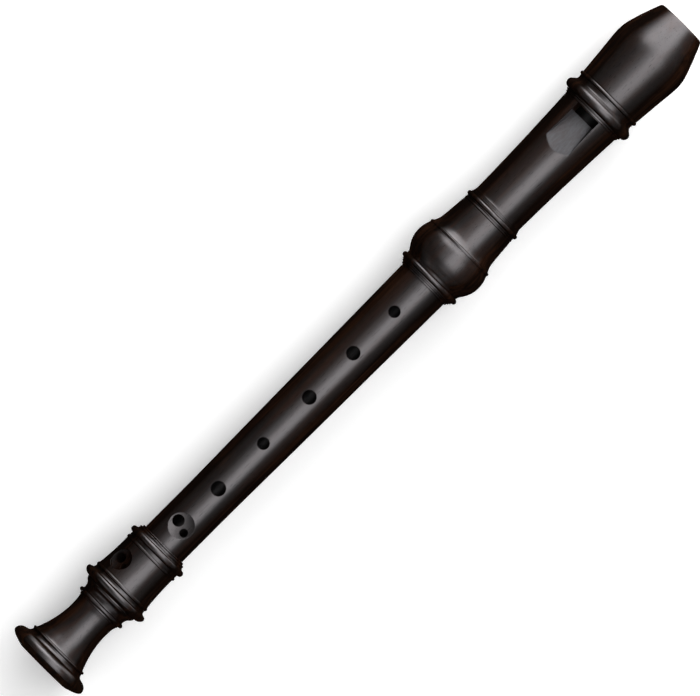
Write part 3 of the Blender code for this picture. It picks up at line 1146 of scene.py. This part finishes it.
@dataclass
class Middle(Joint):
    """Middle joint: the tube with its finger holes, the thumb hole and a tenon at each end."""

    name: ClassVar[str] = "middle"
    front: ClassVar[float] = 2.0
    upper: Tenon
    lower: Tenon
    bore_top: float = 6.6
    bore_end: float = 4.95
    seam: float = 0.06
    hole_floor: float = 1.0
    holes: tuple[Point, ...] = ((178.9, 4.25), (158.0, 5.0), (135.7, 5.15), (112.4, 4.4), (89.6, 5.4))
    thumb: Point = (186.3, 5.0)
    sixth: DoubleHole = field(
        default_factory=lambda: DoubleHole("sixth", 70.85, 9.6, 7.75, (2.1, 0.6, 4.5), (-2.4, -1.3, 3.2))
    )

    def outside(self) -> list[Point]:
        """Outline of the tube between its two shoulders."""
        top, end = HEAD_MOUTH - self.seam, FOOT_MOUTH + self.seam
        tube = [(168.0, 10.05), (148.8, 9.85), (127.3, 9.64), (105.8, 9.39), (84.0, 9.13)]
        return [
            (top, 9.6),
            *fillet(top, top - 0.4, 10.33, 0.06)[:4],
            *smooth_run([(top - 0.5, 10.33), *tube, (end + 0.5, 9.13)], 1.1),
            *fillet(end + 0.4, end, 9.13, 0.06)[4:],
        ]

    def blank(self) -> list[Point]:
        """Outline of the tube with its two tenons."""
        return [
            (self.upper.end, 0.0),
            *self.upper.outline(HEAD_MOUTH - self.seam),
            *self.outside(),
            *reversed(self.lower.outline(FOOT_MOUTH + self.seam)),
            (self.lower.end, 0.0),
        ]

    def tools(self, finishes: Mapping[Surface, Material]) -> list[Object]:
        """Bore, finger holes and thumb hole."""
        bored, tube = finishes[Surface.BORED], self.outside()
        bore = [
            (self.upper.end + OVERCUT, 0.0),
            (self.upper.end + OVERCUT, self.bore_top),
            (self.upper.end, self.bore_top),
            (self.lower.end, self.bore_end),
            (self.lower.end - OVERCUT, self.bore_end),
            (self.lower.end - OVERCUT, 0.0),
        ]
        made = [self.shop.turned("middle_bore", bore, bored)]
        for number, (along, diameter) in enumerate(self.holes, 1):
            hole = Drilling(f"finger_{number}", along, 0.0, diameter, self.hole_floor)
            made.append(hole.tool(self.shop, tube, bored))
        made.extend(self.sixth.tools(self.shop, tube, bored, finishes[Surface.FACED]))
        hole = Drilling("thumb", self.thumb[0], 0.0, self.thumb[1], self.hole_floor)
        thumb = hole.tool(self.shop, tube, bored)
        thumb.data.transform(Matrix.Rotation(pi, 4, "X"))
        return [*made, thumb]


@dataclass
class Foot(Joint):
    """Foot joint: ringed socket, the double hole of the little finger and the flared end."""

    name: ClassVar[str] = "foot"
    front: ClassVar[float] = 40.0
    socket: float = 7.95
    socket_depth: float = 11.1
    bore_top: float = 4.9
    bore_end: float = 4.5
    bell: float = 5.4
    face: float = 11.0
    seventh: DoubleHole = field(
        default_factory=lambda: DoubleHole("seventh", 47.2, 8.4, 10.5, (1.5, 0.3, 4.1), (-2.2, -1.4, 2.8))
    )

    def outside(self) -> list[Point]:
        """Outline from the mouth of the socket to the rim at the end."""
        ring = [(38.35, 12.45), (38.1, 13.1), (37.85, 13.8), (37.05, 14.17), (36.3, 13.93)]
        flare = [(26.0, 8.42), (24.0, 8.32), (21.9, 8.35), (17.6, 8.82), (13.6, 9.72), (10.0, 10.93)]
        return [
            *fillet(FOOT_MOUTH, 60.95, 9.95, 0.18),
            *fillet(60.8, 60.05, 10.72, 0.12),
            (59.98, 10.78),
            *smooth_run([(59.95, 10.8), (59.65, 10.92), (59.45, 11.2)], 0.1),
            *bead(58.2, 1.22, 11.35, 12.63, 22),
            (56.9, 11.27),
            *smooth_run([(56.7, 11.24), (55.8, 11.22)], 0.4),
            *bead(55.05, 0.62, 11.22, 11.68, 12),
            *smooth_run([(54.3, 11.2), (50.9, 11.22), (46.6, 11.4), (43.2, 11.66), (41.2, 11.92)], 0.6),
            *bead(40.4, 0.68, 11.92, 12.36, 12),
            *smooth_run([(39.6, 12.0), (39.1, 12.02), (38.7, 12.15)], 0.2),
            *smooth_run(ring, 0.12),
            *smooth_run([(35.8, 13.55), (35.3, 12.85), (35.0, 12.0)], 0.12),
            *fillet(34.95, 34.35, 11.35, 0.08),
            *smooth_run([(34.25, 11.18), (33.8, 10.9), (33.0, 10.08), (32.3, 9.66), (31.1, 9.37)], 0.2),
            *fillet(30.95, 30.6, 9.5, 0.06),
            *bead(29.76, 0.8, 9.55, 10.44, 16),
            *fillet(28.9, 28.3, 9.15, 0.08),
            *smooth_run([(28.2, 8.88), (27.6, 8.72), (26.8, 8.5)], 0.2),
            *smooth_run(flare),
            *smooth_run([(9.3, 11.2), (8.8, 11.5)], 0.15),
            *bead(8.22, 0.5, 11.75, 12.4, 12),
            *smooth_run([(7.7, 12.02), (7.2, 12.05), (6.5, 12.45), (6.12, 12.95)], 0.15),
            *smooth_run([(5.95, 13.6), (5.5, 15.0), (4.7, 16.1), (3.9, 16.55), RIM], 0.18),
            *smooth_run([(2.5, 16.6), (1.8, 15.85), (1.1, 14.5), (0.45, 12.6), (0.1, 11.5)], 0.18),
            (0.0, self.face),
        ]

    def blank(self) -> list[Point]:
        """Outline of the foot, closed at both ends."""
        return [(FOOT_MOUTH, 0.0), *self.outside(), (0.0, 8.0), (0.0, 0.0)]

    def tools(self, finishes: Mapping[Surface, Material]) -> list[Object]:
        """Bore with its bell, and the double hole."""
        bored = finishes[Surface.BORED]
        end = FOOT_MOUTH - self.socket_depth
        bore = [
            *reversed(socket_mouth(FOOT_MOUTH, self.socket, 1.0)),
            (end, self.socket),
            (end, self.bore_top),
            *smooth_run([(2.4, self.bore_end), (1.5, 4.58), (0.5, 5.0), (0.0, self.bell)], 0.3),
            (-1.0, self.bell + 0.9),
            (-1.0, 0.0),
        ]
        # The spot face takes the shaded copy of the faced finish: painted shade for a face that lies
        # round the side.
        holes = self.seventh.tools(self.shop, self.outside(), bored, finishes[Surface.DULLED])
        return [self.shop.turned("foot_bore", bore, bored), *holes]


# The studio


@dataclass
class Softbox:
    """Flat diffuser, one panel of an arch that goes over the recorder and down on one side.

    Its first and last angle are degrees from overhead down to its side, which is in degrees from
    the beak's direction to the left. Left and right are its ends, counted in metres from the line
    overhead, distance is the arch's radius and middle the X place that the arch goes over.
    """

    name: str
    first: float
    last: float
    left: float
    right: float
    radiance: float
    side: float = 0.0
    distance: float = 1.5
    middle: float = 0.0

    def build(self) -> Object:
        """Hang the panel; its power follows from its area, so that only its brightness is chosen.

        Returns:
            The lamp.
        """
        data = bpy.data.lights.new(self.name, "AREA")
        data.shape = "RECTANGLE"
        data.size = self.right - self.left
        data.size_y = 2 * self.distance * tan(radians(self.last - self.first) / 2)
        data.energy = self.radiance * pi * data.size * data.size_y
        made = linked(self.name, data)
        turn = Matrix.Rotation(radians(self.side - 90.0), 4, "Z")
        tilt = Matrix.Rotation(-radians(self.first + self.last) / 2, 4, "X")
        hang = Matrix.Translation(((self.left + self.right) / 2, 0.0, self.distance))
        made.matrix_world = Matrix.Translation((self.middle, 0.0, 0.0)) @ turn @ tilt @ hang
        return made


@dataclass
class Studio:
    """Pale floor, soft lamps, faint surroundings and the camera high above."""

    floor_half: float = 4.0
    floor_tone: float = 0.8
    floor_seen: float = 1.0
    floor_glow: float = 0.2
    surroundings: float = 0.03
    view_centre: Point = (-0.00393, 0.00241)
    camera_height: float = 4.8956
    camera_turn: float = -45.11
    camera_reach: float = 40.0
    lens: float = 700.0

    def floor(self) -> Object:
        """Plain pale floor just under the recorder."""
        half = self.floor_half
        corners = [(x * half, y * half, 0.0) for x, y in ((-1, -1), (1, -1), (1, 1), (-1, 1))]
        mesh = bpy.data.meshes.new("floor")
        mesh.from_pydata(corners, [], [(0, 1, 2, 3)])
        nodes = MaterialTree("floor_paper")
        rays = nodes.add("ShaderNodeLightPath").outputs
        seen = Value(nodes, rays["Is Camera Ray"]).math("MAXIMUM", rays["Is Glossy Ray"])
        seen = seen.math("MAXIMUM", rays["Is Transmission Ray"])
        grain = nodes.noise((900.0, 900.0, 900.0), 2.0)
        paper = nodes.mix(grain, (self.floor_tone,) * 3, (self.floor_tone * 1.02,) * 3)
        shader = nodes.principled(
            Base_Color=nodes.mix(seen, paper, (self.floor_seen,) * 3),
            Roughness=0.9,
            Specular_IOR_Level=0.1,
            Emission_Color=nodes.mix(seen, (0.0, 0.0, 0.0), (self.floor_glow,) * 3),
            Emission_Strength=1.0,
        )
        mesh.materials.append(nodes.done(shader))
        return linked("floor", mesh)

    def world(self) -> None:
        """Faint even light from all round."""
        world = bpy.data.worlds.new("studio")
        world.use_nodes = True
        background = world.node_tree.nodes["Background"]
        background.inputs["Color"].default_value = (*[self.surroundings] * 3, 1.0)
        bpy.context.scene.world = world

    def camera(self) -> None:
        """Long lens straight above, turned so that the recorder lies across the picture."""
        data = bpy.data.cameras.new("camera")
        data.lens = self.lens
        data.clip_end = self.camera_reach
        made = linked("camera", data)
        made.location = (*self.view_centre, self.camera_height)
        made.rotation_euler = (0.0, 0.0, radians(self.camera_turn))
        bpy.context.scene.camera = made

    def build(self) -> None:
        """Set up the floor, the lamps, the surroundings and the camera."""
        self.floor()
        self.world()
        self.camera()
        for lamp in (
            Softbox("arch_foot", -45.0, -18.0, 0.0, 1.19, 0.7),
            Softbox("arch_over", -18.0, 30.0, 0.0, 1.19, 2.45),
            Softbox("arch_left", -18.0, 30.0, -0.75, 0.0, 0.5),
            Softbox("arch_beak", 30.0, 90.0, 0.0, 0.75, 2.9),
            Softbox("wall_high", 27.0, 42.0, 0.0, 0.35, 2.6, side=42.0, distance=0.7, middle=0.12),
            Softbox("wall_low", 42.0, 90.0, -0.168, 0.513, 3.6, side=42.0, distance=0.7, middle=0.12),
            Softbox("wall_foot", 74.0, 90.0, -0.25, 0.45, 3.5, side=25.0, distance=0.7, middle=0.12),
            Softbox("foot_low", 48.0, 76.0, -0.25, 0.25, 1.6, side=180.0, distance=0.22, middle=-0.17),
        ):
            lamp.build()
        bpy.context.scene.view_settings.view_transform = "Standard"


def main() -> None:
    """Build the studio and the recorder's sub-assemblies, in order."""
    logging.basicConfig(level=logging.INFO, format="%(name)s: %(message)s")
    Studio().build()
    shop = Workshop()
    head, foot = Head(shop), Foot(shop)
    upper = Tenon(head.socket, HEAD_MOUTH + head.socket_depth - CLEARANCE, (198.3, 209.7))
    lower = Tenon(foot.socket, FOOT_MOUTH - foot.socket_depth + CLEARANCE, (53.6, 59.2))
    head.build((0.31, 0.73, 0.12))
    Block(head).build(Cedar().material())
    Middle(shop, upper, lower).build((1.17, 0.29, 0.55))
    foot.build((2.43, 0.61, 0.38))
    cork = Cork().material()
    upper.sleeve(shop, "upper_cork_sleeve", "upper_cork", "upper_tenon_cork", cork)
    lower.sleeve(shop, "lower_cork_sleeve", "lower_cork", "lower_tenon_cork", cork)


if __name__ == "__main__":
    main()
